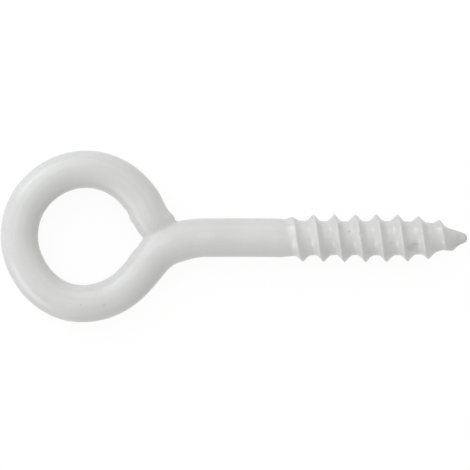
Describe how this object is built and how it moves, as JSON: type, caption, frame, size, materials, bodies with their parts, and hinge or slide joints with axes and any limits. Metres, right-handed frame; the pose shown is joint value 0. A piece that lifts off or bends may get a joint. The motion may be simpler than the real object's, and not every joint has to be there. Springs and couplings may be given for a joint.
{
  "type": "screw eye",
  "caption": "Closed eye bent from round wire on a plain shank, with a coarse wood thread and a point, to screw into timber as an anchor for a hook or a cord.",
  "frame": {"origin": "centre of the eye, in the middle of the wire's thickness", "axes": "+X along the shank from the eye to the point, +Z along the axis of the eye's hole, +Y in the plane of the eye on the side of the wire's cut end; the part lies flat on XY"},
  "size_m": [0.0499, 0.0184, 0.0052],
  "materials": {
    "white_coat": "glossy white coat over steel wire, slightly uneven"
  },
  "bodies": {
    "root": {"screw_eye": "white_coat"}
  },
  "joints": []
}
